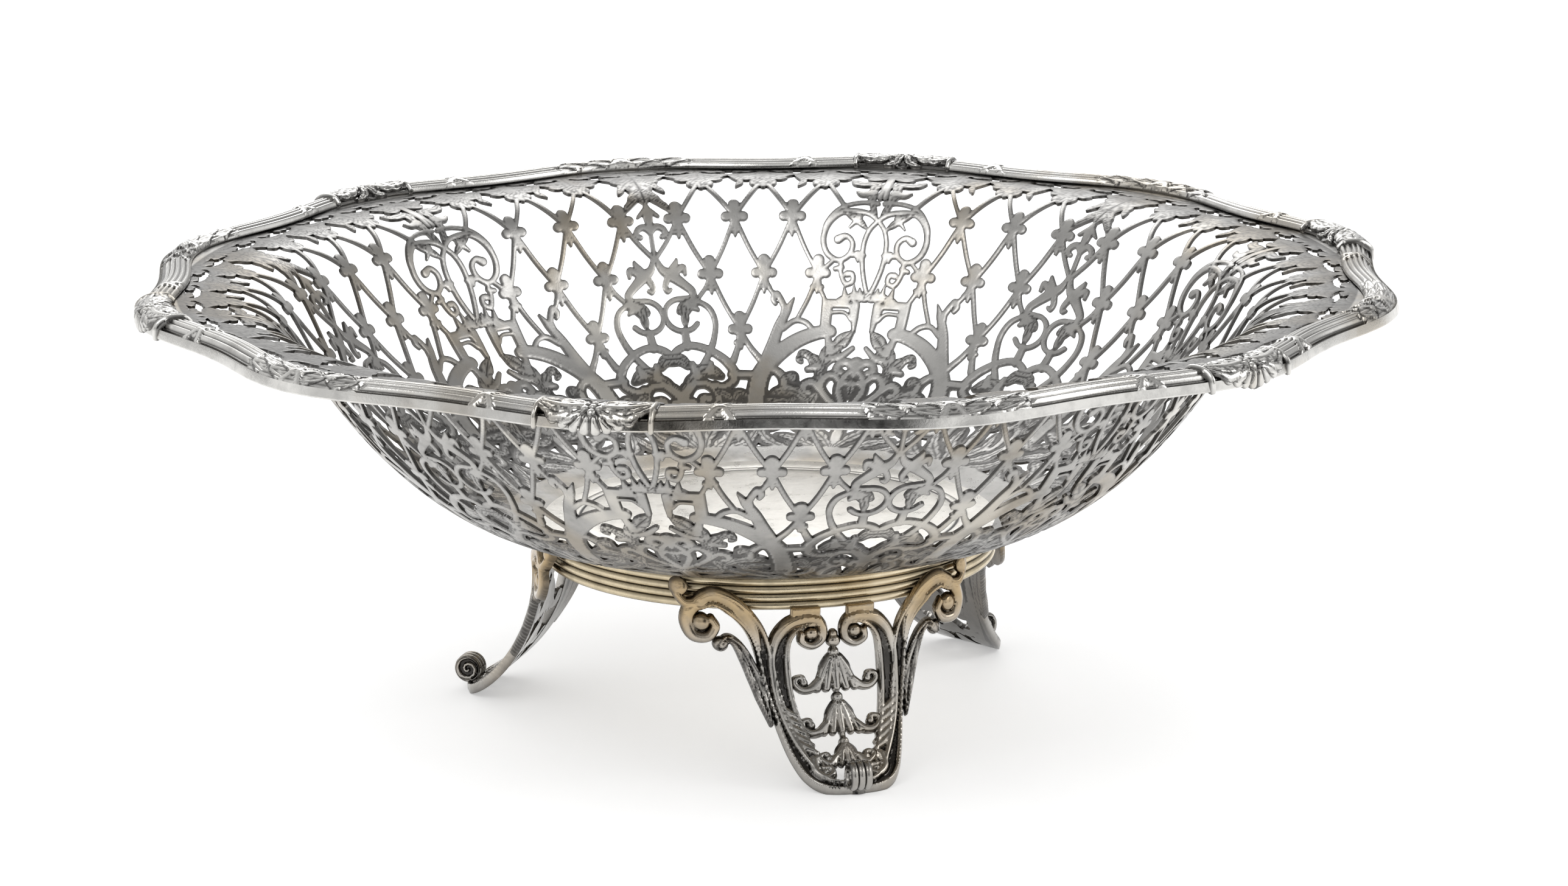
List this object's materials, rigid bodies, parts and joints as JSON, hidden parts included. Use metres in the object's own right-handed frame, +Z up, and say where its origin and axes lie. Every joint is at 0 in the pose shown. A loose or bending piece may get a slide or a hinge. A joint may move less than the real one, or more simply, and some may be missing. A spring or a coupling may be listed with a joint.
{
  "type": "pierced silver basket",
  "caption": "Round pierced bread or fruit basket with trellis and scroll openwork, a lobed reeded border and cast openwork bellflower feet.",
  "frame": {"origin": "on the table plane, below the centre of the bowl", "axes": "+Z up along the bowl's axis, -Y towards the first foot, +X to the right of a viewer who faces that foot"},
  "size_m": [0.331, 0.3294, 0.1194],
  "materials": {
    "oxidised_silver": "oxidised silver with dark recesses",
    "bright_silver": "worn silver with dark grooves",
    "tarnished_silver": "silver with a warm golden tarnish"
  },
  "bodies": {
    "root": {"pierced_bowl": "oxidised_silver", "foot_ring": "tarnished_silver", "border_section_1": "bright_silver", "border_clasp_1": "bright_silver", "border_section_2": "bright_silver", "border_clasp_2": "bright_silver", "border_section_3": "bright_silver", "border_clasp_3": "bright_silver", "border_section_4": "bright_silver", "border_clasp_4": "bright_silver", "border_section_5": "bright_silver", "border_clasp_5": "bright_silver", "border_section_6": "bright_silver", "border_clasp_6": "bright_silver", "leg_frame_1": "oxidised_silver", "shell_toe_1": "oxidised_silver", "bellflower_drop_1": "oxidised_silver", "leg_frame_2": "oxidised_silver", "shell_toe_2": "oxidised_silver", "bellflower_drop_2": "oxidised_silver", "leg_frame_3": "oxidised_silver", "shell_toe_3": "oxidised_silver", "bellflower_drop_3": "oxidised_silver"}
  },
  "joints": []
}
